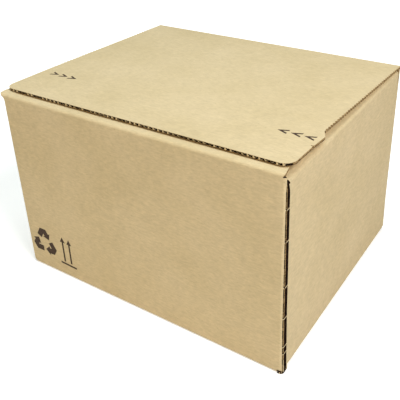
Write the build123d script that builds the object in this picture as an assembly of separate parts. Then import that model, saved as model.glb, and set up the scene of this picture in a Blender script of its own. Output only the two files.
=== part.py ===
from build123d import *
import os
from math import atan2, cos, degrees, radians, sin, tan

# A closed shipping carton, folded from one sheet of single-wall corrugated board.
# X runs along the front, Y from the front to the back and Z up from the floor.
# While it is drawn, the carton's four walls are centred on the origin.

# The carton's overall sizes
width = 385.0
depth = 318.0
front_height = 250.0

# The board: two flat papers with a wavy one between them
board = 3.0
fold_radius = 1.2
flute_pitch = 6.3
liner = 0.35
medium = 0.3
glue = 0.3

# Slots between the flaps, at the top and bottom corners of the walls
slot_top_rise = 0.5
sleeve_top_drop = 10.0
corner_reach = 6.0
slot_height = 0.8
slot_width = 8.0
narrow_slot_width = 4.4

# The front flap, folded in under the lid and sprung up against it
flange_depth = 48.0
flange_end_gap = 0.3
flange_taper = 12.0
flange_left_spur = 3.0
flange_right_inset = 2.0

# The dust flaps, folded in from the side walls
side_fold_drop = 5.5
side_fold_tilt = 0.9
dust_flap_length = 115.0
dust_flap_droop = 6.0

# The lid, folded forward from the back wall; its gaps are above the front fold's top
lid_front_gap = 2.1
lid_back_gap = -0.3
lid_setback = 10.0
lid_skew = 4.9
lid_corner_radius = 13.0
lid_fold_run = 4.0
channel_margin = 14.0
channel_end = 6.0

# The wavy die-cut sides of the lid and the tear strip's end tab
wave_pitch = 5.5
wave_height = 1.5
smooth_side = 92.0
notch_place = 56.0
notch_depth = 3.5
notch_width = 3.0
notch_root_inset = 0.5
front_right_inset = 1.0
tab_reach = 1.3
tab_step = 12.0
tear_tape_place = 70.0
tear_tape_width = 6.0
tear_tape_thickness = 0.25
tear_tape_end_inset = 1.0

# The cut score down the front right corner
score_start = 1.3
score_width = 7.0
score_depth = 2.3
score_ridge_start = 1.4
score_ridge_width = 2.4
score_ridge_drop = 0.9
score_top_margin = 2.0
tie_heights = [28.0, 38.0, 77.0, 118.0, 174.0, 211.0]
tie_height = 1.6

# The side seam, and the glue that holds the seam, the bottom and the lid
seam_flap_length = 36.0
seam_edge_inset = 2.0
seam_glue_margin = 18.0
bottom_flap_length = 150.0
bottom_gap = 2.0
bead_width = 18.0
bead_length = 118.0
bead_inset = 18.0
bead_places = [38.0, 112.0]
closure_glue_front = 30.0
closure_glue_width = 15.0
closure_glue_margin = 30.0

# How far a cutting shape runs past what it cuts, and the thinnest hollow worth drawing
overrun = 1.0
thinnest_hollow = 0.02

outer_radius = fold_radius + board
slot_top_z = board + glue + outer_radius + slot_top_rise
front = -depth / 2
back = depth / 2
left = -width / 2
right = width / 2
sleeve_top_z = front_height - sleeve_top_drop
side_fold_z = front_height - side_fold_drop
lid_back_z = front_height + lid_back_gap + board
front_fold_z = front_height - outer_radius
back_fold_z = lid_back_z - outer_radius
lid_slope = degrees(atan2(lid_front_gap - lid_back_gap, depth - lid_setback - outer_radius))


def fold_section(rise, turn, run):
    """A board seen end on: it goes up from v = 0 with its outer face at u = 0, turns in and goes on."""
    centre = Vector(-outer_radius, rise)

    def at(radius, angle, along=0.0):
        outward = Vector(cos(radians(angle)), sin(radians(angle)))
        onward = Vector(-sin(radians(angle)), cos(radians(angle)))
        return centre + outward * radius + onward * along

    outer_arc = ThreePointArc(at(outer_radius, 0), at(outer_radius, turn / 2), at(outer_radius, turn))
    inner_arc = ThreePointArc(at(fold_radius, turn), at(fold_radius, turn / 2), at(fold_radius, 0))
    outline = [
        Line((0, 0), at(outer_radius, 0)),
        outer_arc,
        Line(at(outer_radius, turn), at(outer_radius, turn, run)),
        Line(at(outer_radius, turn, run), at(fold_radius, turn, run)),
        Line(at(fold_radius, turn, run), at(fold_radius, turn)),
        inner_arc,
        Line(at(fold_radius, 0), (-board, 0)),
        Line((-board, 0), (0, 0)),
    ]
    return make_face(outline)


def folded_strip(section, foot, outward, up, length):
    """A folded section drawn out evenly both ways from foot, which is on the wall's outer face."""
    along = Vector(*outward).cross(Vector(*up))
    place = Plane(origin=foot, x_dir=outward, z_dir=along)
    return place * extrude(section, amount=length / 2, both=True)


def block(x0, x1, y0, y1, z0, z1):
    """A plain block between the given limits."""
    middle = ((x0 + x1) / 2, (y0 + y1) / 2, (z0 + z1) / 2)
    return Pos(*middle) * Box(x1 - x0, y1 - y0, z1 - z0)


def sleeve():
    """The four walls in one band, with the seam flap glued inside the back wall."""
    seam_y = back - board - glue
    outer_points = [
        (left + seam_edge_inset, back),
        (right, back),
        (right, front),
        (left, front),
        (left, seam_y),
        (left + seam_flap_length, seam_y),
    ]
    inner_points = [
        (left + seam_edge_inset, back - board),
        (right - board, back - board),
        (right - board, front + board),
        (left + board, front + board),
        (left + board, seam_y - board),
        (left + seam_flap_length, seam_y - board),
    ]
    outer = FilletPolyline(*outer_points, radius=outer_radius)
    inner = FilletPolyline(*inner_points, radius=fold_radius)
    start = Line(outer_points[0], inner_points[0])
    end = Line(outer_points[-1], inner_points[-1])
    plan = make_face([*outer.edges(), *inner.edges(), start, end])
    walls = Pos(0, 0, slot_top_z) * extrude(plan, amount=sleeve_top_z - slot_top_z)
    tall = Pos(0, 0, slot_top_z) * extrude(plan, amount=back_fold_z - slot_top_z)
    return walls + (tall & corner_posts())


def corner_posts():
    """Where the corner folds stand above the side walls, up to the slots under the lid and front flap."""
    posts = Part()
    for x0, x1 in ((left, left + corner_reach), (right - corner_reach, right)):
        posts += block(x0, x1, front, front + corner_reach, sleeve_top_z, front_fold_z - slot_height)
        posts += block(x0, x1, back - corner_reach, back, sleeve_top_z, back_fold_z - slot_height)
    return posts


def cut_score():
    """The cuts through the outer paper beside the front right fold, stopped at each paper tie."""
    y0 = front + score_start
    y1 = y0 + score_width
    x1 = right + overrun
    ridge_front = y0 + score_ridge_start
    ridge_back = ridge_front + score_ridge_width
    score_top_z = sleeve_top_z - score_top_margin
    stops = [slot_top_z]
    for tie in tie_heights:
        if tie + tie_height < score_top_z:
            stops += [tie - tie_height / 2, tie + tie_height / 2]
    stops.append(score_top_z)
    cuts = Part()
    for bottom, top in zip(stops[0::2], stops[1::2]):
        cuts += block(right - score_depth, x1, y0, ridge_front, bottom, top)
        cuts += block(right - score_depth, x1, ridge_back, y1, bottom, top)
        cuts += block(right - score_ridge_drop, x1, ridge_front, ridge_back, bottom, top)
    return cuts


def corner_slots(y, top):
    """Clears both ends of a front or back flap, up to its fold, of the corner folds and their slots."""
    cuts = block(left - slot_width, left + outer_radius, y - outer_radius, y + outer_radius, sleeve_top_z, top)
    cuts += block(right - outer_radius, right + slot_width, y - outer_radius, y + outer_radius, sleeve_top_z, top)
    return cuts


def lid_plane():
    """The lid's under side, from the end of its back fold: +Y runs to the back and +Z up."""
    turn = radians(90 - lid_slope)
    fold_y = back - outer_radius
    y = fold_y + fold_radius * cos(turn) - lid_fold_run * sin(turn)
    z = back_fold_z + fold_radius * sin(turn) + lid_fold_run * cos(turn)
    slope = radians(lid_slope)
    return Plane(origin=(0, y, z), x_dir=(1, 0, 0), z_dir=(0, sin(slope), cos(slope)))


lid_under = lid_plane()
lid_length = (lid_under.origin.Y - front - lid_setback) / cos(radians(lid_slope))


def lid_bottom(y):
    """How high the lid's under side is, at a distance along the carton's own Y."""
    return lid_under.origin.Z + (lid_under.origin.Y - y) * tan(radians(lid_slope))


def lid_y(from_front):
    """A place on the lid, in its own plane, from its distance behind the carton's front."""
    return (front + from_front - lid_under.origin.Y) / cos(radians(lid_slope))


def flange_lift():
    """The angle that the sprung front flap rises by, until its end nearly meets the lid."""
    climb = lid_bottom(front + flange_depth) - flange_end_gap - front_height
    return degrees(atan2(climb, flange_depth - outer_radius))


def flange():
    """The front wall's top edge and the flap folded in from it, with tapered ends."""
    rise = front_fold_z - sleeve_top_z
    section = fold_section(rise, 90 - flange_lift(), flange_depth - outer_radius)
    x0 = left - flange_left_spur
    x1 = right - flange_right_inset
    strip = folded_strip(section, ((x0 + x1) / 2, front, sleeve_top_z), (0, -1, 0), (0, 0, 1), x1 - x0)
    lean = flange_depth * tan(radians(flange_taper))
    tapers = Sketch()
    for x, side in ((x0, 1), (x1, -1)):
        corners = [(x, front), (x + side * lean, front + flange_depth), (x, front + 2 * flange_depth)]
        tapers += make_face(Polyline(*corners, (x - side, front + 2 * flange_depth), (x - side, front), close=True))
    return strip - extrude(tapers, amount=2 * front_height) - corner_slots(front, front_fold_z)


def dust_flap(side):
    """A side wall's top edge and its dust flap, which droops under the lid and rises to the back."""
    rise = side_fold_z - outer_radius - sleeve_top_z + slot_width
    section = fold_section(rise, 90 + dust_flap_droop, dust_flap_length - outer_radius)
    foot = (side * width / 2, 0, side_fold_z - outer_radius - rise)
    strip = folded_strip(section, foot, (side, 0, 0), (0, 0, 1), depth - 2 * slot_width)
    return strip.rotate(Axis((0, 0, side_fold_z), (1, 0, 0)), side_fold_tilt)


def bottom_flap(centre, outward, wall_length, fold_z, length):
    """A wall's bottom edge and the flap folded in from it, lying at fold_z."""
    section = fold_section(slot_top_z - outer_radius - fold_z, 90, length - outer_radius)
    foot = (*centre, slot_top_z)
    return folded_strip(section, foot, outward, (0, 0, -1), wall_length)


def wavy_edge(start, end, count):
    """A wavy cut from start to end: arcs that bulge to one side and the other in turn."""
    start = Vector(*start)
    end = Vector(*end)
    step = (end - start) / (2 * count)
    aside = Vector(-step.Y, step.X).normalized() * wave_height / 2
    arcs = []
    for i in range(2 * count):
        bulge = aside if i % 2 else -aside
        a = start + step * i
        arcs.append(ThreePointArc(a, a + step / 2 + bulge, a + step))
    return arcs


def lid_outline():
    """The lid flat: skewed to the left at the front, with wavy sides and the tear strip's tab."""
    rear = 0.0
    front_edge = lid_y(lid_setback)
    smooth_end = lid_y(smooth_side)
    waves = round((rear - smooth_end) / wave_pitch)
    front_left = left - lid_skew
    front_right = right - front_right_inset
    tab_x = right + tab_reach
    notch_front = lid_y(notch_place) - notch_width / 2
    notch_root = (right - notch_root_inset, notch_front)
    notch_tip = (right - notch_depth, lid_y(notch_place))
    tab_front = notch_front + notch_width
    right_smooth = (right - lid_skew, smooth_end)
    left_smooth = (front_left, smooth_end)
    corner = lid_corner_radius
    left_corner = RadiusArc((front_left, front_edge + corner), (front_left + corner, front_edge), -corner)
    right_corner = RadiusArc((front_right - corner, front_edge), (front_right, front_edge + corner), -corner)
    straights = [
        Line((front_left + corner, front_edge), (front_right - corner, front_edge)),
        Line((front_right, front_edge + corner), notch_root),
        Line(notch_root, notch_tip),
        Line(notch_tip, (right, tab_front)),
        Line((right, tab_front), (tab_x, smooth_end - tab_step)),
        Line((tab_x, smooth_end - tab_step), right_smooth),
        Line((right, rear), (left, rear)),
        Line(left_smooth, (front_left, front_edge + corner)),
    ]
    right_waves = wavy_edge(right_smooth, (right, rear), waves)
    left_waves = wavy_edge((left, rear), left_smooth, waves)
    return make_face([left_corner, right_corner, *straights, *right_waves, *left_waves])


def flute_channels():
    """The hollows on both sides of the wavy paper, open at the lid's front edge and blind at its back."""
    low = liner
    high = board - liner
    swing = (high - low - medium) / 2
    middle = board / 2
    tops = Sketch()
    steps = 10
    half = flute_pitch / 2
    reach = width / 2 - channel_margin
    count = int(reach / half)
    for i in range(-count, count):
        up = 1 if i % 2 else -1
        flat = high if up > 0 else low
        points = []
        for j in range(-steps // 2, steps // 2 + 1):
            x = half * 2 * j / steps
            wave = middle - up * swing * cos(radians(180 * x / half)) + up * medium / 2
            if up * (flat - wave) > thinnest_hollow:
                points.append((i * half + x, wave))
        points = [(points[0][0], flat), *points, (points[-1][0], flat)]
        tops += make_face(Polyline(*points, close=True))
    mouth = Plane(origin=(0, lid_y(lid_setback) - overrun, 0), x_dir=(1, 0, 0), z_dir=(0, -1, 0))
    return mouth * extrude(tops, amount=-(lid_length + overrun - channel_end))


def lid():
    """The back wall's top edge, its fold and the lid, with open flutes along the front edge."""
    rise = back_fold_z - sleeve_top_z
    section = fold_section(rise, 90 - lid_slope, lid_fold_run)
    hinge = folded_strip(section, (0, back, sleeve_top_z), (0, 1, 0), (0, 0, 1), width)
    plate = extrude(lid_outline(), amount=board) - flute_channels()
    return hinge - corner_slots(back, back_fold_z), lid_under * plate


def box_blank():
    """The whole folded sheet."""
    inner_z = board + glue
    inner_wall = depth - 2 * slot_width
    outer_wall = width - 2 * narrow_slot_width
    outer_flap = depth / 2 - bottom_gap / 2
    hinge, plate = lid()
    body = sleeve() - cut_score()
    body += flange()
    body += dust_flap(-1) + dust_flap(1)
    body += bottom_flap((0, front), (0, -1, 0), outer_wall, 0, outer_flap)
    body += bottom_flap((0, back), (0, 1, 0), outer_wall, 0, outer_flap)
    body += bottom_flap((left, 0), (-1, 0, 0), inner_wall, inner_z, bottom_flap_length)
    body += bottom_flap((right, 0), (1, 0, 0), inner_wall, inner_z, bottom_flap_length)
    body += hinge
    return body + plate


def closure_glue():
    """Hot melt that fills the narrow wedge between the sprung front flap and the lid."""
    turn = radians(90 - flange_lift())
    flap_y = front + outer_radius * (1 - cos(turn))
    flap_z = front_fold_z + outer_radius * sin(turn)

    def flap_top(y):
        return flap_z + (y - flap_y) * tan(radians(flange_lift()))

    y0 = front + closure_glue_front
    y1 = y0 + closure_glue_width
    corners = [(y0, flap_top(y0)), (y1, flap_top(y1)), (y1, lid_bottom(y1)), (y0, lid_bottom(y0))]
    wedge = Plane.YZ * make_face(Polyline(*corners, close=True))
    return extrude(wedge, amount=width / 2 - closure_glue_margin, both=True)


def tear_tape():
    """The thin ribbon on the lid's under side that rips the lid open, from its left edge to the tab."""
    y = lid_y(tear_tape_place)
    x0 = left - lid_skew + tear_tape_end_inset
    x1 = right
    half = tear_tape_width / 2
    return lid_under * block(x0, x1, y - half, y + half, -tear_tape_thickness, 0)


def seam_glue():
    """Glue between the seam flap and the back wall."""
    x0 = left + outer_radius + seam_edge_inset
    x1 = left + seam_flap_length - seam_edge_inset
    z0 = slot_top_z + seam_glue_margin
    z1 = sleeve_top_z - seam_glue_margin
    return block(x0, x1, back - board - glue, back - board, z0, z1)


def bottom_glue():
    """Four beads of glue on each side, between the outer and the inner bottom flaps."""
    beads = []
    for side in (-1, 1):
        for place in bead_places:
            for half in (-1, 1):
                x = side * (width / 2 - bead_inset - bead_length / 2)
                y = half * place
                beads.append(Pos(x, y, board + glue / 2) * Box(bead_length, bead_width, glue))
    return Compound(children=[bead.solid() for bead in beads])


nodes = {
    "box_blank": box_blank(),
    "closure_glue": closure_glue(),
    "tear_tape": tear_tape(),
    "seam_glue": seam_glue(),
    "bottom_flap_glue": bottom_glue(),
}
middle = nodes["box_blank"].bounding_box().center()
os.makedirs("parts", exist_ok=True)
for name, shape in nodes.items():
    centred = Pos(-middle.X, -middle.Y, 0) * shape
    export_step(centred, f"parts/{name}.step")
area = nodes["box_blank"].volume / board / 1e6
print(f"sheet about {area:.3f} square metres, moved {-middle.X:.3f} mm along X")
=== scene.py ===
import math
import random

import bmesh
import bpy
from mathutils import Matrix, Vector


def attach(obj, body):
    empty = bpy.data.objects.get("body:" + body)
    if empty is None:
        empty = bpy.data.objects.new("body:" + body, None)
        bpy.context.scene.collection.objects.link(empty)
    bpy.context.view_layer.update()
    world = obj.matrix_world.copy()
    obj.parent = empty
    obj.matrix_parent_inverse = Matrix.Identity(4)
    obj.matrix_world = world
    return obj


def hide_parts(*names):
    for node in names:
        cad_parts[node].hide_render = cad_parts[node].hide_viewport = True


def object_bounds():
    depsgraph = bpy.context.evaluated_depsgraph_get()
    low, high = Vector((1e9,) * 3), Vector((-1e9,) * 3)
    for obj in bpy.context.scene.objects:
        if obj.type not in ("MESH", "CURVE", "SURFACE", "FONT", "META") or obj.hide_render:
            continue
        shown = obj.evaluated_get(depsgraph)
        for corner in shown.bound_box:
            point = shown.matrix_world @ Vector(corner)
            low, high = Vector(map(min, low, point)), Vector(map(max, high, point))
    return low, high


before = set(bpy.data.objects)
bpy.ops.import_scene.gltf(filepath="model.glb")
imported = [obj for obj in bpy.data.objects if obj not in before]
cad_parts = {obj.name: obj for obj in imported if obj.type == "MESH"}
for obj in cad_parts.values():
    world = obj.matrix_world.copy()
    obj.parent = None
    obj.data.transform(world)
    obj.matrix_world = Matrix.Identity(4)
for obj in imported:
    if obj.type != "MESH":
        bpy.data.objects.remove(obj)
cad_low, cad_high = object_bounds()

# ---- Camera
# A longish lens above and in front of the carton's right corner, looking down on it, and
# shifted a little to the left and down, so that its upright edges draw together less.
camera_data = bpy.data.cameras.new("camera")
camera_data.sensor_width = 36.0
camera_data.lens = 55.8
camera_data.shift_x = -0.04
camera_data.shift_y = -0.15
camera = bpy.data.objects.new("camera", camera_data)
camera.location = (0.4102, -0.5941, 0.5337)
camera.rotation_euler = [math.radians(a) for a in (62.963, 1.552, 32.997)]
bpy.context.collection.objects.link(camera)
bpy.context.scene.camera = camera
bpy.context.scene.view_settings.view_transform = "Standard"


# ---- Floor and light
# A seamless white studio sweep. A large soft box overhead lights the lid, a smaller one on the
# right lights the right wall, and a low warm fill lifts the front, which stays the darkest side.
def linear(hex_colour):
    """An sRGB hex colour as linear red, green, blue and an alpha of 1."""
    parts = [int(hex_colour[i : i + 2], 16) / 255 for i in (1, 3, 5)]
    return [c / 12.92 if c <= 0.04045 else ((c + 0.055) / 1.055) ** 2.4 for c in parts] + [1.0]


def node(tree, kind, settings=None, inputs=None):
    """Adds a shader node; settings are its own properties, and inputs are values or links."""
    made = tree.nodes.new(kind)
    for name, value in (settings or {}).items():
        setattr(made, name, value)
    for name, value in (inputs or {}).items():
        if isinstance(value, bpy.types.NodeSocket):
            tree.links.new(value, made.inputs[name])
        else:
            made.inputs[name].default_value = value
    return made


def new_material(name):
    """An empty node material, with the tree to fill and its output node."""
    material = bpy.data.materials.new(name)
    material.use_nodes = True
    material.node_tree.nodes.clear()
    return material, material.node_tree, material.node_tree.nodes.new("ShaderNodeOutputMaterial")


def mesh_piece(name, points, faces, material=None):
    """A mesh object from points and faces."""
    mesh = bpy.data.meshes.new(name)
    mesh.from_pydata(points, [], faces)
    mesh.validate()
    if material:
        mesh.materials.append(material)
    piece = bpy.data.objects.new(name, mesh)
    bpy.context.collection.objects.link(piece)
    return piece


sweep_white, tree, output = new_material("painted_studio_sweep")
is_camera = node(tree, "ShaderNodeLightPath").outputs["Is Camera Ray"]
paint = node(tree, "ShaderNodeBsdfDiffuse", inputs={"Color": linear("#F2F2F2")})
# The sweep glows for the camera, brighter further away than round the carton, where its soft shadow falls:
# painted light that stands in for a sweep lit from behind
place = node(tree, "ShaderNodeTexCoord").outputs["Object"]
away = node(tree, "ShaderNodeVectorMath", {"operation": "LENGTH"}, {0: place})
glow = node(
    tree,
    "ShaderNodeMapRange",
    inputs={
        "Value": away.outputs["Value"],
        "From Min": 0.4,
        "From Max": 1.0,
        "To Min": 0.40,
        "To Max": 0.90,
    },
)
lift = node(tree, "ShaderNodeEmission", inputs={"Color": linear("#FFFFFF"), "Strength": glow.outputs[0]})
both = node(tree, "ShaderNodeAddShader", inputs={0: paint.outputs[0], 1: lift.outputs[0]})
chosen = node(tree, "ShaderNodeMixShader", inputs={0: is_camera, 1: paint.outputs[0], 2: both.outputs[0]})
tree.links.new(chosen.outputs[0], output.inputs["Surface"])

reach = 6.0
floor = mesh_piece(
    "floor",
    [(-reach, -reach, 0), (reach, -reach, 0), (reach, reach, 0), (-reach, reach, 0)],
    [(0, 1, 2, 3)],
    sweep_white,
)
floor.location.z = cad_low[2]

world = bpy.data.worlds.new("white_surround")
bpy.context.scene.world = world
world.use_nodes = True
tree = world.node_tree
tree.nodes.clear()
rays = node(tree, "ShaderNodeLightPath")
plain = node(tree, "ShaderNodeBackground", inputs={"Color": linear("#FFFFFF"), "Strength": 1.0})
dimmed = node(tree, "ShaderNodeBackground", inputs={"Color": linear("#FFFBF2"), "Strength": 0.14})
seen = node(
    tree,
    "ShaderNodeMath",
    {"operation": "MAXIMUM"},
    {0: rays.outputs["Is Camera Ray"], 1: rays.outputs["Is Transmission Ray"]},
)
shown = {0: seen.outputs[0], 1: dimmed.outputs[0], 2: plain.outputs[0]}
chosen = node(tree, "ShaderNodeMixShader", inputs=shown)
node(tree, "ShaderNodeOutputWorld", inputs={"Surface": chosen.outputs[0]})


def soft_light(name, place, target, size, power, colour):
    """A square soft box that faces a point."""
    data = bpy.data.lights.new(name, "AREA")
    data.shape = "SQUARE"
    data.size = size
    data.energy = power
    data.color = linear(colour)[:3]
    light = bpy.data.objects.new(name, data)
    light.location = place
    facing = light.location - type(light.location)(target)
    light.rotation_euler = facing.to_track_quat("Z", "Y").to_euler()
    bpy.context.collection.objects.link(light)
    return light


carton_middle = (0.0, 0.0, 0.12)  # about half way up the walls
soft_light("overhead_box", (-0.15, -0.12, 1.7), carton_middle, 1.3, 17.0, "#EDFCFF")
soft_light("key_box", (1.25, -0.48, 1.4), carton_middle, 0.7, 22.2, "#FFFDF7")
soft_light("front_fill", (-0.4, -2.6, 0.7), carton_middle, 1.8, 15.5, "#FFE2A6")


# ---- Sleeve
# The four walls: one band of single-wall corrugated board, creased at the corners, with its
# flutes upright and a flap glued inside the back wall. A cut score runs down the front right.
board = 0.003
corner_radius = 0.0042
inner_radius = corner_radius - board
tab_reach = 0.0013
carton_width = 0.385
wall_right = cad_high[0] - tab_reach
wall_left = wall_right - carton_width
wall_front = cad_low[1]
wall_back = cad_high[1]
mid_x = (wall_left + wall_right) / 2
mid_y = (wall_front + wall_back) / 2
half_x = carton_width / 2
half_y = (wall_back - wall_front) / 2
sleeve_bottom = 0.008
sleeve_top = 0.230
flute_pitch = 0.0063
slot_width = 0.008


def kraft_paper(name, tone, pale, dark, flutes_across):
    """Uncoated kraft liner: unbleached brown fibres, matt, with the flutes just showing through."""
    material, tree, output = new_material(name)
    place = node(tree, "ShaderNodeTexCoord").outputs["Object"]
    # Cloudy formation of the sheet, 75 mm and 9 mm across
    broad = node(
        tree,
        "ShaderNodeTexNoise",
        inputs={"Vector": place, "Scale": 1 / 0.075, "Detail": 3.0, "Roughness": 0.55},
    )
    cloudy = node(
        tree,
        "ShaderNodeTexNoise",
        inputs={"Vector": place, "Scale": 1 / 0.009, "Detail": 4.0, "Roughness": 0.65},
    )
    # Fibres, along the way the paper ran through the mill: they are drawn about 7 mm long and
    # 1 to 2 mm across, much coarser than real ones, so that they show
    long_way = (0.16, 1.0, 0.55) if flutes_across == "X" else (1.0, 0.16, 0.55)
    stretched = node(tree, "ShaderNodeMapping", inputs={"Vector": place, "Scale": long_way})
    fibres = node(
        tree,
        "ShaderNodeTexNoise",
        inputs={"Vector": stretched.outputs[0], "Scale": 1 / 0.0011, "Detail": 3.0, "Roughness": 0.7},
    )
    # Specks of bark and recycled fibre, drawn about 1 mm across so that they show
    cells = node(
        tree,
        "ShaderNodeTexVoronoi",
        inputs={"Vector": place, "Scale": 1 / 0.0052, "Randomness": 1.0},
    )
    speck = node(
        tree,
        "ShaderNodeMapRange",
        inputs={
            "Value": cells.outputs["Distance"],
            "From Min": 0.05,
            "From Max": 0.16,
            "To Min": 1.0,
            "To Max": 0.0,
        },
    )
    lot = node(tree, "ShaderNodeSeparateColor", inputs={"Color": cells.outputs["Color"]})
    few = node(tree, "ShaderNodeMath", {"operation": "GREATER_THAN"}, {0: lot.outputs[0], 1: 0.72})
    chosen_specks = {0: speck.outputs[0], 1: few.outputs[0]}
    specks = node(tree, "ShaderNodeMath", {"operation": "MULTIPLY"}, chosen_specks)
    base = node(
        tree,
        "ShaderNodeValToRGB",
        inputs={"Fac": broad.outputs["Fac"]},
    )
    base.color_ramp.elements[0].position = 0.32
    base.color_ramp.elements[0].color = linear(dark)
    base.color_ramp.elements[1].position = 0.70
    base.color_ramp.elements[1].color = linear(pale)
    middle_stop = base.color_ramp.elements.new(0.5)
    middle_stop.color = linear(tone)
    clouds = node(
        tree,
        "ShaderNodeMapRange",
        inputs={
            "Value": cloudy.outputs["Fac"],
            "From Min": 0.3,
            "From Max": 0.7,
            "To Min": 0.96,
            "To Max": 1.04,
        },
    )
    threads = node(
        tree,
        "ShaderNodeMapRange",
        inputs={
            "Value": fibres.outputs["Fac"],
            "From Min": 0.25,
            "From Max": 0.75,
            "To Min": 0.88,
            "To Max": 1.12,
        },
    )
    both = {0: clouds.outputs[0], 1: threads.outputs[0]}
    shade = node(tree, "ShaderNodeMath", {"operation": "MULTIPLY"}, both)
    mottled = node(
        tree,
        "ShaderNodeVectorMath",
        {"operation": "SCALE"},
        {0: base.outputs["Color"], "Scale": shade.outputs[0]},
    )
    strength = node(tree, "ShaderNodeMath", {"operation": "MULTIPLY"}, {0: specks.outputs[0], 1: 0.30})
    coloured = node(
        tree,
        "ShaderNodeMix",
        {"data_type": "RGBA"},
        {"Factor": strength.outputs[0], 6: mottled.outputs[0], 7: linear("#8A6A42")},
    )
    # Washboarding: the liner sinks a few hundredths of a millimetre between the flute tips
    axis = node(tree, "ShaderNodeSeparateXYZ", inputs={"Vector": place}).outputs[flutes_across]
    turns = node(
        tree, "ShaderNodeMath", {"operation": "MULTIPLY"}, {0: axis, 1: 2 * math.pi / flute_pitch}
    )
    ripple = node(tree, "ShaderNodeMath", {"operation": "SINE"}, {0: turns.outputs[0]})
    height = node(
        tree,
        "ShaderNodeMath",
        {"operation": "MULTIPLY_ADD"},
        {0: fibres.outputs["Fac"], 1: 0.5, 2: cloudy.outputs["Fac"]},
    )
    washed = node(
        tree,
        "ShaderNodeMath",
        {"operation": "MULTIPLY_ADD"},
        {0: ripple.outputs[0], 1: 0.30, 2: height.outputs[0]},
    )
    bump = node(
        tree,
        "ShaderNodeBump",
        inputs={"Height": washed.outputs[0], "Strength": 0.35, "Distance": 0.00012},
    )
    paper = node(
        tree,
        "ShaderNodeBsdfPrincipled",
        inputs={
            "Base Color": coloured.outputs[2],
            "Roughness": 0.86,
            "IOR": 1.47,
            "Specular IOR Level": 0.35,
            "Normal": bump.outputs[0],
        },
    )
    tree.links.new(paper.outputs[0], output.inputs["Surface"])
    return material


kraft_tones = ("#D3BE97", "#D7C29C", "#CFBA92")
kraft_front = kraft_paper("kraft_liner_front", *kraft_tones, "X")
kraft_side = kraft_paper("kraft_liner_side", *kraft_tones, "Y")


def two_tone(name, grain, dark, pale, surface, stretch=None):
    """A material whose colour wanders between two tones, each a (position, hex) stop, with a
    noise of the given grain; stretch scales the noise's place."""
    material, tree, output = new_material(name)
    place = node(tree, "ShaderNodeTexCoord").outputs["Object"]
    if stretch:
        place = node(tree, "ShaderNodeMapping", inputs={"Vector": place, "Scale": stretch}).outputs[0]
    noise = node(tree, "ShaderNodeTexNoise", inputs={"Vector": place, **grain})
    colour = node(tree, "ShaderNodeValToRGB", inputs={"Fac": noise.outputs["Fac"]})
    for stop, (position, tone) in zip(colour.color_ramp.elements, (dark, pale)):
        stop.position = position
        stop.color = linear(tone)
    body = node(
        tree,
        "ShaderNodeBsdfPrincipled",
        inputs={"Base Color": colour.outputs["Color"], **surface},
    )
    tree.links.new(body.outputs[0], output.inputs["Surface"])
    return material


# The cut edge of the board: torn brown fibres of both liners
cut_edge = two_tone(
    "cut_board_edge",
    {"Scale": 1 / 0.0016, "Detail": 3.0, "Roughness": 0.7},
    (0.38, "#7A5D3A"),
    (0.62, "#BFA274"),
    {"Roughness": 0.95, "Specular IOR Level": 0.2},
)

# Painted shade: nearly black paper for the core laid bare in the cuts, inside the lid's flute channels and
# in the open front right corner, where deep shade falls
core_painted_shade = two_tone(
    "core_paper_painted_shade",
    {"Scale": 1 / 0.003, "Detail": 3.0},
    (0.35, "#1C100A"),
    (0.7, "#3A2416"),
    {"Roughness": 0.95, "Specular IOR Level": 0.15},
)

long_wall_bow = 0.0009
short_wall_bow = 0.0007
front_lean = 0.00008
bow_middle = 0.13
bow_depth = 0.02
foot_splay = 0.0012
splay_height = 0.09


def bowed(x, y, z):
    """Moves a wall point in or out a little: long panels of board never stand quite flat."""
    from_ends = max(0.0, 1 - ((x - mid_x) / half_x) ** 2)
    from_corners = max(0.0, 1 - ((y - mid_y) / half_y) ** 2)
    up = max(0.0, 1 - ((z - bow_middle) / bow_middle) ** 2)
    near_front = max(0.0, 1 - (y - wall_front) / bow_depth)
    near_back = max(0.0, 1 - (wall_back - y) / bow_depth)
    near_side = max(0.0, 1 - (half_x - abs(x - mid_x)) / bow_depth)
    inwards = long_wall_bow * from_ends * up
    y += (front_lean + inwards) * near_front - inwards * near_back
    x -= short_wall_bow * from_corners * up * near_side * (1 if x > mid_x else -1)
    # The right wall stands a little out at its foot
    x += foot_splay * max(0.0, 1 - z / splay_height) ** 2 * max(0.0, (x - mid_x) / half_x)
    return (x, y, z)


def spaced(start, end, count):
    """Evenly spaced numbers from start up to, but not at, end."""
    return [start + (end - start) * i / count for i in range(count)]


def across(start, end, count):
    """Evenly spaced numbers from start to end, both included."""
    return spaced(start, end, count) + [end]


def bend(cx, cy, start, end, count):
    """Outer and inner points round a fold, from one angle in degrees to another."""
    pairs = []
    for angle in spaced(start, end, count):
        c, s = math.cos(math.radians(angle)), math.sin(math.radians(angle))
        outer = (cx + corner_radius * c, cy + corner_radius * s)
        inner = (cx + inner_radius * c, cy + inner_radius * s)
        pairs.append((outer, inner))
    return pairs


def face_outwards(piece):
    """Turns a closed shape's faces round where they look inwards."""
    shape = bmesh.new()
    shape.from_mesh(piece.data)
    if shape.calc_volume(signed=True) < 0:
        piece.data.flip_normals()
    shape.free()


sharp_from = math.radians(32)


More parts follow.
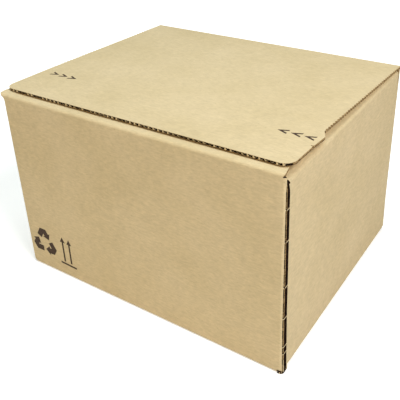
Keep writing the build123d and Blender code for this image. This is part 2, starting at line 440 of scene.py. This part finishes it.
def loft(name, sections, materials):
    """A closed board through sections, each a list of (outer, inner) points. The strips at both
    ends of each section and both end caps are cut edges, in the second material."""
    count = len(sections[0])
    points = []
    for section in sections:
        points += [pair[0] for pair in section]
        points += [pair[1] for pair in section]
    ring = 2 * count
    faces = []
    raw = []
    for i in range(len(sections) - 1):
        a, b = i * ring, (i + 1) * ring
        for j in range(count - 1):
            faces.append((a + j, a + j + 1, b + j + 1, b + j))
            faces.append((b + count + j, b + count + j + 1, a + count + j + 1, a + count + j))
            raw += [0, 0]
        faces.append((a + count, a, b, b + count))
        faces.append((a + count - 1, a + ring - 1, b + ring - 1, b + count - 1))
        raw += [1, 1]
    last = (len(sections) - 1) * ring
    for j in range(count - 1):
        faces.append((j + 1, j, count + j, count + j + 1))
        faces.append((last + j, last + j + 1, last + count + j + 1, last + count + j))
        raw += [1, 1]
    piece = mesh_piece(name, points, faces)
    for material in materials:
        piece.data.materials.append(material)
    for face, side in zip(piece.data.polygons, raw):
        face.material_index = side
        face.use_smooth = True
    face_outwards(piece)
    piece.data.set_sharp_from_angle(angle=sharp_from)
    return piece


# The cut score, placed along the front right corner's surface from where its bend ends on the
# right wall: it opens below its top, gapes wider towards its foot, and paper ties bridge it.
score_top = 0.244
score_opens_over = 0.014
score_widens_over = 0.2
score_least_width = 0.0005
score_left = -0.0031
score_tip = -0.0022
score_right_top = 0.0034
score_right_foot = 0.0056
score_depth = 0.0028
tie_half = 0.0006
tie_sink = 0.00005
tie_heights = [0.028, 0.038, 0.077, 0.118, 0.174, 0.211]


def corner_surface(along, depth):
    """A point on the front right corner: along from the bend's end, towards the back, and deep."""
    middle_y = wall_front + corner_radius
    if along >= 0:
        return (wall_right - depth, middle_y + along)
    angle = max(along / corner_radius, -math.pi / 2)
    beyond = min(0.0, along + corner_radius * math.pi / 2)
    x = wall_right - corner_radius + (corner_radius - depth) * math.cos(angle) + beyond
    return (x, middle_y + (corner_radius - depth) * math.sin(angle))


def score_span(z):
    """Where the score starts along the corner, its width and how far it is open, at one height."""
    below = max(0.0, score_top - z)
    opened = min(1.0, below / score_opens_over)
    left_side = score_left + (score_tip - score_left) * (1 - opened)
    widened = min(1.0, below / score_widens_over)
    right_side = score_right_top + (score_right_foot - score_right_top) * widened
    right_side = score_tip + (right_side - score_tip) * opened**0.6
    return left_side, max(score_least_width, right_side - left_side), opened


def score_pairs(z):
    """The cut score at one height: two dark cuts with a ridge of torn core between them."""
    left_side, width, opened = score_span(z)
    wander = 0.03 * math.sin(z * 330) + 0.02 * math.sin(z * 870 + 1)
    depth = score_depth * (0.5 + 0.5 * opened)
    if any(abs(z - tie) < tie_half for tie in tie_heights):
        depth = tie_sink
    # (share of the width from the left, share of the depth), from the right wall round
    profile = [(1.0, 0.0), (0.98, 0.9), (0.85, 1.0), (0.55 + wander, 1.0)]
    profile += [(0.47 + wander, 0.35), (0.38 + wander, 0.22), (0.29 + wander, 0.38), (0.24 + wander, 0.9)]
    profile += [(0.08, 0.9), (0.03, 0.7), (0.0, 0.0)]
    pairs = []
    for share, deep in profile:
        along = left_side + share * width
        pairs.append((corner_surface(along, depth * deep), corner_surface(along, board)))
    return pairs


bend_end = -corner_radius * math.pi / 2


def corner_pairs(z, right_reach, front_reach, scored=True):
    """The front right corner at one height, from the right wall round to the front wall."""
    last = bend_end - (front_reach - corner_radius)
    first = right_reach - corner_radius
    pairs = []
    if scored:
        pairs.append((corner_surface(first, 0.0), corner_surface(first, board)))
        pairs += score_pairs(z)
        rest = across(score_span(z)[0], bend_end, 8)[1:]
    else:
        rest = across(first, bend_end, 10)
    for along in rest + [last]:
        pairs.append((corner_surface(along, 0.0), corner_surface(along, board)))
    return pairs


glue = 0.0003
seam_edge_inset = 0.002
seam_flap_middle = 0.020
seam_flap_end = 0.036
front_points_from = 0.012
score_right_reach = 0.014
score_front_reach = 0.008


def sleeve_section(z):
    """Outer and inner points round the sleeve at one height, from the back wall's raw end."""
    seam = wall_back - board - glue
    r = corner_radius
    pairs = []
    for x in spaced(wall_left + seam_edge_inset, wall_right - r, 36):
        pairs.append(((x, wall_back), (x, wall_back - board)))
    pairs += bend(wall_right - r, wall_back - r, 90, 0, 8)
    for y in spaced(wall_back - r, wall_front + score_right_reach, 40):
        pairs.append(((wall_right, y), (wall_right - board, y)))
    pairs += corner_pairs(z, score_right_reach, score_front_reach)
    for x in spaced(wall_right - front_points_from, wall_left + r, 60):
        pairs.append(((x, wall_front), (x, wall_front + board)))
    pairs += bend(wall_left + r, wall_front + r, 270, 180, 8)
    for y in spaced(wall_front + r, seam - r, 30):
        pairs.append(((wall_left, y), (wall_left + board, y)))
    pairs += bend(wall_left + r, seam - r, 180, 90, 8)
    for x in [wall_left + r, wall_left + seam_flap_middle, wall_left + seam_flap_end]:
        pairs.append(((x, seam), (x, seam - board)))
    return [(bowed(*outer, z), bowed(*inner, z)) for outer, inner in pairs]


# The sleeve's heights, with four close together at each tie
heights = {sleeve_bottom, sleeve_top}
for i in range(1, 60):
    heights.add(round(sleeve_bottom + (sleeve_top - sleeve_bottom) * i / 60, 5))
for tie in tie_heights:
    heights = {h for h in heights if abs(h - tie) > 2.5 * tie_half}
    heights |= {tie - 1.3 * tie_half, tie - 0.95 * tie_half, tie + 0.95 * tie_half, tie + 1.3 * tie_half}


outer_skin = 0.00012
inner_skin = 0.00015
ridge_share = (0.30, 0.46)
score_side_limit = 0.008


def paint_score(piece, spread=0.02):
    """Faces down in the cuts of the score, and the caps that look up or down at it, are painted nearly
    black as painted shade, and its ridge takes the torn paper. The spread is how far beside the score, in
    shares of its width, sunk faces still count."""
    mesh = piece.data
    mesh.materials.append(core_painted_shade)
    middle = (wall_right - corner_radius, wall_front + corner_radius)
    for face in mesh.polygons:
        x, y, z = face.center
        if x < middle[0] or y > middle[1] + score_side_limit:
            continue
        along, depth = y - middle[1], wall_right - x
        if along < 0:
            along = math.atan2(y - middle[1], x - middle[0]) * corner_radius
            depth = corner_radius - math.dist((x, y), middle)
        left_side, width, _ = score_span(z)
        share = (along - left_side) / width
        if abs(face.normal.z) > 0.5:
            if share > -0.1:
                # Painted shade on the caps in the score
                face.material_index = 3
        elif face.material_index == 0 and -spread < share < 1 + spread:
            if outer_skin < depth < board - inner_skin:
                # The ridge keeps the torn core's own colour; the rest of the cuts takes the painted shade
                face.material_index = 1 if ridge_share[0] < share < ridge_share[1] else 3


def corner_board(name, low, high, right_reach, front_reach, mirror=(1, 1), shift=0.0):
    """One corner's fold between two heights, mirrored from the front right corner, which alone
    has the score."""
    scored = mirror == (1, 1)
    sections = []
    count = 12 if scored else 3
    for i in range(count + 1):
        t = i / count
        pairs = corner_pairs(low + (high - low) * t, right_reach, front_reach, scored)
        section = []
        for outer, inner in pairs:
            placed = []
            for x, y in (outer, inner):
                x = mid_x + mirror[0] * (x - mid_x)
                y = mid_y + mirror[1] * (y - mid_y) + shift
                placed.append(bowed(x, y, low + (high - low) * t))
            section.append(tuple(placed))
        sections.append(section)
    piece = loft(name, sections, [kraft_front, cut_edge])
    piece.data.materials.append(kraft_side)
    if scored:
        paint_score(piece)
    return piece


sleeve = loft("sleeve", [sleeve_section(z) for z in sorted(heights)], [kraft_front, cut_edge])
sleeve.data.materials.append(kraft_side)
paint_score(sleeve)


def paint_sides(piece, side_slot):
    """Faces that look along X take the side paper, whose flutes are counted along Y."""
    for face in piece.data.polygons:
        if face.material_index == 0 and abs(face.normal.x) > 0.75:
            face.material_index = side_slot


def board_piece(piece):
    """What every piece of the folded sheet says to the frame."""
    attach(piece, "root")
    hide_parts("box_blank")


# Each corner stands on above the sleeve between its two flaps' slots, and the front two below it
front_height = 0.250
seam_step = -board - glue
corner_side = 0.006
corner_face = 0.0045
foot_side = 0.0115
foot_face = 0.0070
toe_top = 0.0052
tip_foot = 0.2382
front_left_top = 0.2450
back_top = 0.2477
front_left_low = 0.0040
narrow_slot = 0.0044
corners = [
    sleeve,
    corner_board("front_right_corner", sleeve_top, tip_foot, slot_width, score_front_reach),
    corner_board("front_left_corner", sleeve_top, front_left_top, corner_side, corner_face, (-1, 1)),
    corner_board("back_right_corner", sleeve_top, back_top, corner_side, corner_face, (1, -1)),
    corner_board("back_left_corner", sleeve_top, back_top, corner_side, corner_face, (-1, -1), seam_step),
    corner_board("front_right_foot", toe_top, sleeve_bottom, foot_side, foot_face),
    corner_board("front_left_foot", front_left_low, sleeve_bottom, slot_width, narrow_slot, (-1, 1)),
]
for piece in corners:
    paint_sides(piece, 2)
    board_piece(piece)

# The corner's fold stands on alone beside the top of the score
tip_top = 0.2464
tip_behind_score = 0.0002
tip_past_bend = 0.0003
tip_pairs = []
for along in across(score_tip - tip_behind_score, bend_end, 8) + [bend_end - tip_past_bend]:
    tip_pairs.append((corner_surface(along, 0.0), corner_surface(along, board)))
tip_sections = []
for z in (tip_foot, 0.240, 0.242, tip_top):
    tip_sections.append([(bowed(*outer, z), bowed(*inner, z)) for outer, inner in tip_pairs])
corner_tip = loft("front_right_corner_tip", tip_sections, [kraft_front, cut_edge])
corner_tip.data.materials.append(kraft_side)
paint_sides(corner_tip, 2)
paint_score(corner_tip)
# Its faces that look back into the carton or up are painted nearly black: painted shade behind the top of
# the score
for face in corner_tip.data.polygons:
    if face.normal.y > 0.3 or face.normal.z > 0.5:
        face.material_index = 3
board_piece(corner_tip)

# Below the front right foot the board beside the score is sunk a little and painted nearly black: painted
# shade where the corner stands open at its foot
toe_low = 0.0004
sunk_from = 0.0014
toe_face = 0.0066
sunk_share = 0.35
shade_spread = 9.0
score_points = 12
toe_sections = []
for z in (toe_low, sunk_from, toe_top):
    section = []
    for k, (outer, inner) in enumerate(corner_pairs(z, foot_side, toe_face)):
        if k >= score_points:
            outer = tuple(o + (i - o) * sunk_share for o, i in zip(outer, inner))
        # The very foot is flush, and closes the score off below
        if z == toe_low:
            stretch = board / math.dist(outer, inner)
            outer = tuple(i + (o - i) * stretch for o, i in zip(outer, inner))
        section.append((bowed(*outer, z), bowed(*inner, z)))
    toe_sections.append(section)
corner_toe = loft("front_right_toe", toe_sections, [kraft_front, cut_edge])
corner_toe.data.materials.append(kraft_side)
paint_score(corner_toe, shade_spread)
# The toe's front part takes the painted shade
for face in corner_toe.data.polygons:
    if face.center.x < wall_right - corner_radius:
        face.material_index = 3
paint_sides(corner_toe, 2)
board_piece(corner_toe)


# ---- Lid
# The lid hinges on the back wall and covers the top to 10 mm short of the front. Its front edge
# is cut straight across the flutes, so their ends show; its sides are die-cut in small waves.
lid_back_gap = -0.0003
lid_back_z = front_height + lid_back_gap + board
lid_front_gap = 0.0021
lid_setback = 0.010
lid_fold_run = 0.004
lid_slope_run = wall_back - wall_front - lid_setback - corner_radius
lid_slope = math.atan2(lid_front_gap - lid_back_gap, lid_slope_run)
lid_turn = math.pi / 2 - lid_slope
lid_skew = 0.0049
turn_c, turn_s = math.cos(lid_turn), math.sin(lid_turn)
lid_root_y = wall_back - corner_radius + inner_radius * turn_c - lid_fold_run * turn_s
lid_root_z = lid_back_z - corner_radius + inner_radius * turn_s + lid_fold_run * turn_c
lid_length = (lid_root_y - wall_front - lid_setback) / math.cos(lid_slope)
liner = 0.00030
medium = 0.00045
corner_sag = 0.0004


def lid_sag(x, forward):
    """The lid bows: its right front corner sits a little lower than the rest of its front edge."""
    towards_right = max(0.0, (x - mid_x) / half_x)
    return -corner_sag * towards_right**2 * max(0.0, forward / lid_length) ** 2


def lid_point(x, forward, height):
    """A point on the lid from its distance in front of the back fold and above the under side."""
    y = lid_root_y - forward * math.cos(lid_slope) + height * math.sin(lid_slope)
    z = lid_root_z + forward * math.sin(lid_slope) + height * math.cos(lid_slope)
    return (x, y, z + lid_sag(x, forward))


# The lid's sides, by distance behind the front: rounded corner, smooth part, then small waves;
# the right one also has a notch and the tear strip's end tab
smooth_side = 0.092
wave_pitch = 0.0055
wave_height = 0.0015
wave_fade = 0.003
notch_place = 0.056
notch_half = 0.0015
notch_depth = 0.0035
notch_root_inset = 0.0005
front_right_inset = 0.0010
tab_step = 0.012
lid_corner = 0.013


def from_front(forward):
    """Distance behind the carton's front for a distance in front of the back fold."""
    return lid_root_y - forward * math.cos(lid_slope) - wall_front


def wave(forward):
    """The wavy cut, in or out of the straight edge."""
    return wave_height / 2 * math.sin(2 * math.pi * forward / wave_pitch)


def along_points(value, stops):
    """Straight lines through (place, size) stops."""
    for (a, size_a), (b, size_b) in zip(stops, stops[1:]):
        if value <= b:
            return size_a + (size_b - size_a) * max(0.0, value - a) / (b - a)
    return stops[-1][1]


lid_depth = from_front(0.0)
wave_start = lid_length - (smooth_side - lid_setback)


def corner_inset(forward):
    """How far the rounded front corners draw the lid's edge in."""
    into = forward - (lid_length - lid_corner)
    if into <= 0:
        return 0.0
    return lid_corner - math.sqrt(max(0.0, lid_corner**2 - min(into, lid_corner) ** 2))


def lid_right(forward):
    """The lid's right edge: corner, smooth part, notch, tab, step, then waves to the back."""
    place = from_front(forward)
    stops = [
        (lid_setback, wall_right - front_right_inset),
        (notch_place - notch_half, wall_right - notch_root_inset),
        (notch_place, wall_right - notch_depth),
        (notch_place + notch_half, wall_right),
        (smooth_side - tab_step, wall_right + tab_reach),
        (smooth_side, wall_right - lid_skew),
        (lid_depth, wall_right),
    ]
    edge = along_points(place, stops) - corner_inset(forward)
    if place > smooth_side:
        edge += wave(forward) * min(1.0, (place - smooth_side) / wave_fade)
    return min(edge, wall_right + tab_reach)


def lid_left(forward):
    """The lid's left edge: rounded corner and smooth part, then waves to the back."""
    place = from_front(forward)
    stops = [
        (lid_setback, wall_left - lid_skew),
        (smooth_side, wall_left - lid_skew),
        (lid_depth, wall_left),
    ]
    edge = along_points(place, stops) + corner_inset(forward)
    if place > smooth_side:
        edge -= wave(forward) * min(1.0, (place - smooth_side) / wave_fade)
    return edge


def lid_rows():
    """Distances along the lid, close together where its outline turns."""
    before_notch, after_notch = lid_length - 0.050, lid_length - 0.042
    rows = spaced(0.0, wave_start, round(wave_start / (wave_pitch / 8)))
    rows += spaced(wave_start, before_notch, 24)
    rows += spaced(before_notch, after_notch, 16)
    rows += spaced(after_notch, lid_length - lid_corner, 12)
    rows += [lid_length - lid_corner + lid_corner * math.sin(math.pi / 2 * i / 16) for i in range(17)]
    return rows


def lid_sheet(name, low, high, inside):
    """One flat liner of the lid, between two heights above the lid's under side. The side that faces the
    flutes, 1 above or -1 below, is painted nearly black as the painted shade inside the flute channels."""
    columns = 16
    sections = []
    for forward in lid_rows():
        x0, x1 = lid_left(forward), lid_right(forward)
        section = []
        for i in range(columns + 1):
            x = x0 + (x1 - x0) * i / columns
            section.append((lid_point(x, forward, high), lid_point(x, forward, low)))
        sections.append(section)
    piece = loft(name, sections, [kraft_front, cut_edge, core_painted_shade])
    # Faces towards the flutes take the painted shade
    for face in piece.data.polygons:
        if face.normal.z * inside > 0.5:
            face.material_index = 2
    return piece


lid_top = lid_sheet("lid_top_liner", board - liner, board, -1)
lid_under = lid_sheet("lid_under_liner", 0.0, liner, 1)
board_piece(lid_top)
board_piece(lid_under)


flute_steps = 14
flute_margin = 0.0035
flute_drift = 0.9
flute_set_back = 0.0009
flute_start_inset = 0.0020
flute_corner_inset = 0.0012
crushed_half = 0.20


def lid_flutes():
    """The wavy middle paper of the lid, whose ends show along its front edge. Its faces are painted nearly
    black, as the painted shade inside the flute channels; its cut ends keep the liner's paper.
    """
    x0 = wall_left - lid_skew + flute_margin + flute_start_inset
    x1 = wall_right - lid_skew - flute_margin
    count = int((x1 - x0) / flute_pitch * flute_steps)
    flutes = count // flute_steps + 3
    random.seed(7)
    drift = [random.uniform(-flute_drift, flute_drift) for _ in range(flutes)]
    crushed = [random.choice((0.0, 0.5, 0.9, 1.0)) for _ in range(flutes)]
    sections = []
    for row in (0.0, 0.2, 0.4, 0.6, 0.75, 0.88, 0.95, 1.0):
        section = []
        for i in range(count + 1):
            x = x0 + (x1 - x0) * i / count
            turn = 2 * math.pi * (x - x0) / flute_pitch
            here = i / flute_steps
            share = here - int(here)
            wobble = drift[int(here)] * (1 - share) + drift[int(here) + 1] * share
            # Each flute is crushed on one slope, from not at all to shut, and open on the other
            near_slope = max(0.0, 1 - abs(share - 0.5) / crushed_half)
            shut = min(1.0, 2.2 * near_slope) * crushed[int(here)]
            thick = medium + (board - 2 * liner - medium) * shut
            swing = (board - 2 * liner - thick) / 2
            middle = board / 2 + swing * max(-1.0, min(1.0, 1.25 * math.sin(turn + wobble)))
            reach = lid_length
            left_corner = wall_left - lid_skew + lid_corner
            right_corner = wall_right - flute_corner_inset - lid_corner
            for corner, side in ((left_corner, -1), (right_corner, 1)):
                beyond = side * (x - corner)
                if beyond > 0:
                    round_off = math.sqrt(max(0.0, lid_corner**2 - beyond**2))
                    reach = lid_length - lid_corner + round_off
            forward = row * (reach - flute_set_back * (1 - shut))
            upper = lid_point(x, forward, middle + thick / 2)
            lower = lid_point(x, forward, middle - thick / 2)
            section.append((upper, lower))
        sections.append(section)
    # The medium's faces take the painted shade, its ends the liner's paper
    return loft("lid_flutes", sections, [core_painted_shade, kraft_front])


board_piece(lid_flutes())


side_inset = 0.00045
side_thickness = 0.0006
side_dent = 0.0004


def lid_side(name, edge, inward):
    """The crushed core along a die-cut side, set just inside both liners."""
    sections = []
    for forward in [f for f in lid_rows() if f <= lid_length - lid_corner * 0.55]:
        x = edge(forward) + inward * side_inset
        section = []
        for height, dent in ((board - liner, 0.0), (board / 2, side_dent), (liner, 0.0)):
            outer = x + inward * dent
            inner = x + inward * (dent + side_thickness)
            section.append((lid_point(outer, forward, height), lid_point(inner, forward, height)))
        sections.append(section)
    return loft(name, sections, [cut_edge, cut_edge])


board_piece(lid_side("lid_right_core", lid_right, -1))
board_piece(lid_side("lid_left_core", lid_left, 1))


# ---- Folded strips
# The tops and bottoms of the walls, each with its fold and its flap: the lid's hinge, the front
# flap that is sprung up against the lid, the two dust flaps and the four bottom flaps.
stub = 0.0003
fold_steps = 12


def fold_section(rise, turn, run, radius, run_steps=6, start=0.0):
    """Outer and inner (out, up) points of a board that goes up, turns in and goes on. With a start
    angle, the lower part of the fold is cut away and only a stub is left below it."""
    c, s = math.cos(start), math.sin(start)
    leg = stub if start else rise
    back_u, back_v = s * min(rise, leg), -c * leg
    foot = [(-radius + r * c + back_u, rise + r * s + back_v) for r in (radius, radius - board)]
    pairs = [tuple(foot)]
    for angle in across(start, turn, fold_steps):
        c, s = math.cos(angle), math.sin(angle)
        outer = (-radius + radius * c, rise + radius * s)
        inner = (-radius + (radius - board) * c, rise + (radius - board) * s)
        pairs.append((outer, inner))
    (ou, ov), (iu, iv) = pairs[-1]
    for i in range(1, run_steps + 1):
        du, dv = -math.sin(turn) * run * i / run_steps, math.cos(turn) * run * i / run_steps
        pairs.append(((ou + du, ov + dv), (iu + du, iv + dv)))
    return pairs


def place_section(pairs, to_world):
    """A fold section carried into place by a function of (out, up)."""
    return [(to_world(*outer), to_world(*inner)) for outer, inner in pairs]


# The hinge has the back wall below it, apart from a short way at each end
hinge_rise = lid_back_z - corner_radius - sleeve_top
hinge_left = wall_left + seam_edge_inset
hinge_right = wall_right - corner_face
hair = 0.00001
hinge_places = [wall_left, hinge_left - hair] + across(hinge_left, hinge_right, 40)
hinge_sections = []
for x in hinge_places + [hinge_right + hair, wall_right]:
    leg = hinge_rise if hinge_left <= x <= hinge_right else stub
    foot = sleeve_top + hinge_rise - leg
    hinge_pairs = fold_section(leg, lid_turn, lid_fold_run, corner_radius)
    hinge_sections.append(place_section(hinge_pairs, lambda u, v: bowed(x, wall_back + u, foot + v)))
lid_hinge = loft("lid_hinge", hinge_sections[::-1], [kraft_front, cut_edge])
board_piece(lid_hinge)

flange_depth = 0.048
flange_end_gap = 0.0003
flange_spur = 0.0046
flange_inset = 0.0026
flange_radius = 0.0033
flange_swell = 0.0007
flange_bare_top = 0.2440
flange_left_point = 0.0042
flange_right_point = 0.0016
spur_lift = 0.0016
spur_length = 0.022
flange_taper = math.radians(12)
flange_least_run = 0.0002
flange_point_left = 0.0015
flange_point_right = 0.0040
flange_cut_angle = math.radians(80)
right_cut_share = 0.7
spur_lift_over = 0.008
flange_start = wall_left - flange_spur
flange_stop = wall_right - flange_inset
lid_under_end = lid_root_z + (lid_root_y - wall_front - flange_depth) * math.tan(lid_slope)
flange_lift = math.atan2(lid_under_end - flange_end_gap - front_height, flange_depth - corner_radius)


def flange_section(x):
    """The front wall's top edge, its soft fold and the flap, at one place along the front."""
    from_end = min(x - flange_start, flange_stop - x)
    full = flange_depth - corner_radius
    run = min(full, max(flange_least_run, from_end / math.tan(flange_taper)))
    share = (x - flange_start) / (flange_stop - flange_start)
    radius = flange_radius + flange_swell * math.sin(math.pi * share) ** 2
    # Past each corner the flap has no wall below it, and its fold is cut away to a point
    foot = sleeve_top
    if x < wall_left + corner_face or x > wall_right - corner_face:
        foot = flange_bare_top
    if x < wall_left + flange_point_left or x > wall_right - flange_point_right:
        foot = front_height - radius - stub
    left_cut = 1 - (x - flange_start) / flange_left_point
    right_cut = right_cut_share * (1 - (flange_stop - x) / flange_right_point)
    start = flange_cut_angle * max(0.0, left_cut, right_cut)
    pairs = fold_section(front_height - radius - foot, math.pi / 2 - flange_lift, run, radius, start=start)

    def to_world(u, v):
        y = wall_front - u
        sag = lid_sag(x, lid_length) * min(1.0, max(0.0, -u - corner_radius) / full)
        # The spur at the left end has sprung up beside the lid's rounded corner
        lifted = max(0.0, 1 - (x - flange_start) / spur_length)
        sprung = spur_lift * lifted * min(1.0, max(0.0, -u) / spur_lift_over)
        return (x, bowed(x, wall_front, foot + v)[1] - wall_front + y, foot + v + sag + sprung)

    return place_section(pairs, to_world)


# Places along the flap, in close pairs where its foot steps
flange_places = across(flange_start, wall_left + 0.0014, 8)
flange_places += [wall_left + x for x in (0.0016, 0.0030, 0.00449, 0.00451, 0.0072)]
flange_places += across(wall_left + 0.012, wall_right - 0.013, 60)
flange_places += [wall_right - 0.0085, wall_right - 0.00451, wall_right - 0.00449, wall_right - 0.00401]
flange_places += across(wall_right - 0.00399, flange_stop, 4)
front_flap = loft("front_flap", [flange_section(x) for x in flange_places], [kraft_front, cut_edge])
board_piece(front_flap)

side_fold_drop = 0.0055
side_tilt = math.radians(0.9)
dust_flap_length = 0.115
dust_rise = math.radians(8)
dust_bend = 1.8
uncut = 1.5
well_cut = 85
cut_from = 0.0078
cut_over = 0.0016


def dust_flap(name, side):
    """A side wall's top edge and its dust flap, which springs up from its fold and bends down again. At
    the front the fold is cut away, above the top of the score, and the cut faces there are painted nearly
    black as painted shade."""
    wall = wall_right if side > 0 else wall_left
    sections = []
    near_steps = (0.0034, 0.0050, 0.0062, 0.0068, 0.0073, 0.0076, slot_width - hair)
    near = [wall_front + y for y in near_steps]
    for y in near + across(wall_front + slot_width, wall_back - slot_width, 40):
        top = front_height - side_fold_drop + (y - mid_y) * math.tan(side_tilt)
        rise = top - corner_radius - sleeve_top
        start = 0.0
        if y < wall_front + slot_width:
            start = math.radians(max(uncut, well_cut * min(1.0, (wall_front + cut_from - y) / cut_over)))
        run = dust_flap_length - corner_radius
        pairs = fold_section(rise, math.pi / 2 - dust_rise, run, corner_radius, 16, start)

        def to_world(u, v):
            in_from_fold = max(0.0, -u - corner_radius)
            return bowed(wall + side * u, y, sleeve_top + v - dust_bend * in_from_fold**2)

        sections.append(place_section(pairs, to_world))
    piece = loft(name, sections, [kraft_side, cut_edge, core_painted_shade])
    # The cut faces at the front take the painted shade
    for face in piece.data.polygons:
        if face.material_index == 1 and face.center.y < wall_front + slot_width:
            face.material_index = 2
    board_piece(piece)
    return piece


dust_flap("right_dust_flap", 1)
dust_flap("left_dust_flap", -1)

bottom_flap_length = 0.150
bottom_gap = 0.002
side_flap_start = 0.0036
half_cut = math.radians(70)


def bottom_flap(name, side, is_outer):
    """A wall's bottom edge and its flap. The front and back pair lies under the side pair."""
    low = 0.0 if is_outer else board + glue
    length = (wall_back - wall_front - bottom_gap) / 2 if is_outer else bottom_flap_length
    rise = sleeve_bottom - corner_radius - low
    pairs = fold_section(rise, math.pi / 2, length - corner_radius, corner_radius)
    sections = []
    if is_outer:
        wall = wall_front if side < 0 else wall_back
        for x in across(wall_left + narrow_slot, wall_right - foot_face, 40):
            placed = place_section(pairs, lambda u, v: bowed(x, wall + side * u, sleeve_bottom - v))
            sections.append(placed)
    else:
        wall = wall_left if side < 0 else wall_right
        # At the front the fold's upper part is cut back, to clear the corner
        run = length - corner_radius
        cut_pairs = fold_section(rise, math.pi / 2, run, corner_radius, start=half_cut)
        full_from = wall_front + foot_side
        places = [wall_front + side_flap_start, full_from - hair]
        for y in places + across(full_from, wall_back - slot_width, 30):
            here = cut_pairs if y < full_from else pairs
            placed = place_section(here, lambda u, v: bowed(wall + side * u, y, sleeve_bottom - v))
            sections.append(placed)
    piece = loft(name, sections, [kraft_front if is_outer else kraft_side, cut_edge])
    board_piece(piece)
    return piece


bottom_flap("front_bottom_flap", -1, True)
bottom_flap("back_bottom_flap", 1, True)
bottom_flap("left_bottom_flap", -1, False)
bottom_flap("right_bottom_flap", 1, False)


# ---- Print
# Marks from a flexographic press: thin, slightly uneven dark brown water-based ink on the kraft.
# Arrow heads mark both ends of the tear strip; a recycling loop and two arrows are on the front.

# Matt brown-black ink, thinner where the plate missed the low fibres
ink = two_tone(
    "flexo_ink",
    {"Scale": 1 / 0.0016, "Detail": 3.0, "Roughness": 0.7},
    (0.35, "#3B2D26"),
    (0.72, "#5A4638"),
    {"Roughness": 0.8, "Specular IOR Level": 0.3},
)
ink_lift = 0.00004
ink_film = 0.00003


def print_marks(name, outlines, to_world):
    """Flat inked shapes, each a thin closed film on the paper, from (across, up) outlines."""
    points = []
    faces = []
    for outline in outlines:
        count = len(outline)
        base = len(points)
        points += [to_world(a, b, ink_lift + ink_film) for a, b in outline]
        points += [to_world(a, b, ink_lift) for a, b in outline]
        faces.append(tuple(range(base, base + count)))
        faces.append(tuple(range(base + 2 * count - 1, base + count - 1, -1)))
        for i in range(count):
            j = (i + 1) % count
            faces.append((base + i, base + count + i, base + count + j, base + j))
    piece = mesh_piece(name, points, faces, ink)
    face_outwards(piece)
    board_piece(piece)
    return piece


def chevron(tip, middle, points_to):
    """An open arrow head from its tip and the way it points along the front, -1 or 1."""
    length = 0.0122
    half = 0.0050
    stroke = 0.0021
    back = tip - points_to * length
    cut = stroke * 1.2
    return [
        (tip, middle),
        (back, middle + half),
        (back, middle + half - cut),
        (tip - points_to * stroke * 3.0, middle),
        (back, middle - half + cut),
        (back, middle - half),
    ]


def on_lid(x, behind_front, height):
    """A printed point on the lid's top, from its distance behind the carton's front."""
    forward = (lid_root_y - wall_front - behind_front) / math.cos(lid_slope)
    return lid_point(x, forward, board + height)


arrow_pitch = 0.0151
right_arrows = (wall_right - 0.0174, 0.0712)
left_arrows = (wall_left + 0.0238, 0.0728)
chevrons = []
for i in range(3):
    chevrons.append(chevron(right_arrows[0] - i * arrow_pitch, right_arrows[1], -1)[::-1])
    chevrons.append(chevron(left_arrows[0] + i * arrow_pitch, left_arrows[1], 1))
print_marks("tear_strip_arrows", [c[::-1] for c in chevrons], on_lid)


def on_front(x, z, height):
    """A printed point on the front wall."""
    px, py, pz = bowed(x, wall_front, z)
    return (px, py - height, pz)


def recycling_arrow(turn, centre, size):
    """One of three bent arrows that chase each other clockwise round a triangle."""
    corner = 15.6
    half = 3.0
    # Each place is a distance from the corner and one out from the band's middle line; the
    # first side comes up to the corner and the second goes down from it
    first = [(11.2, half), (2.2, half)]
    second = [(2.2, half), (7.6, half), (7.6, 5.2), (13.2, 0.0), (7.6, -5.2), (7.6, -half)]
    last = [(11.2, -half)]

    def on_side(distance, out, way):
        slope = math.radians(60)
        a = way * (distance * math.cos(slope) + out * math.sin(slope))
        return (a, corner - distance * math.sin(slope) + out * math.cos(slope))

    outline = [on_side(*place, -1) for place in first] + [on_side(*place, 1) for place in second]
    outline += [(0.0, corner - 2 * half)] + [on_side(*place, -1) for place in last]
    c, s = math.cos(turn), math.sin(turn)
    return [(centre[0] + size * (a * c - b * s), centre[1] + size * (a * s + b * c)) for a, b in outline]


def up_arrow(x, foot, top):
    """A thin upright arrow with a small filled head."""
    stem = 0.0014
    head = 0.0043
    neck = top - 0.0080
    return [
        (x - stem, foot),
        (x - stem, neck),
        (x - head, neck),
        (x, top),
        (x + head, neck),
        (x + stem, neck),
        (x + stem, foot),
    ]


loop_centre = (wall_left + 0.0290, 0.0418)
loop_unit = 0.00142
marks = [recycling_arrow(-2 * math.pi * k / 3, loop_centre, loop_unit) for k in range(3)]
marks.append(up_arrow(wall_left + 0.0640, 0.0235, 0.0622))
marks.append(up_arrow(wall_left + 0.0755, 0.0235, 0.0617))
bar_left, bar_right = wall_left + 0.0562, wall_left + 0.0840
bar = [(bar_left, 0.0191), (bar_left, 0.0219), (bar_right, 0.0206), (bar_right, 0.0178)]
marks.append(bar)
print_marks("front_marks", [m[::-1] for m in marks], on_front)


# ---- Glue and tear tape
# Hot melt between the flaps and at the seam, and the thin ribbon under the tear strip: all of
# them are inside the closed carton, and keep their built shapes.

# Set packaging glue: waxy, amber and slightly cloudy
hot_melt = two_tone(
    "hot_melt_glue",
    {"Scale": 1 / 0.006, "Detail": 2.0},
    (0.0, "#C9AE78"),
    (1.0, "#DDC694"),
    {"Roughness": 0.42, "IOR": 1.48},
)

# Tear tape: a thin drawn polypropylene ribbon, smooth, with lines along its length
tape_film = two_tone(
    "polypropylene_tear_tape",
    {"Scale": 1 / 0.0005},
    (0.0, "#C2AC83"),
    (1.0, "#D5C29C"),
    {"Roughness": 0.3, "IOR": 1.49},
    stretch=(0.02, 1.0, 1.0),
)

hidden = {
    "closure_glue": hot_melt,
    "seam_glue": hot_melt,
    "bottom_flap_glue": hot_melt,
    "tear_tape": tape_film,
}
for name, material in hidden.items():
    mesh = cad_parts[name].data
    mesh.materials.clear()
    mesh.materials.append(material)
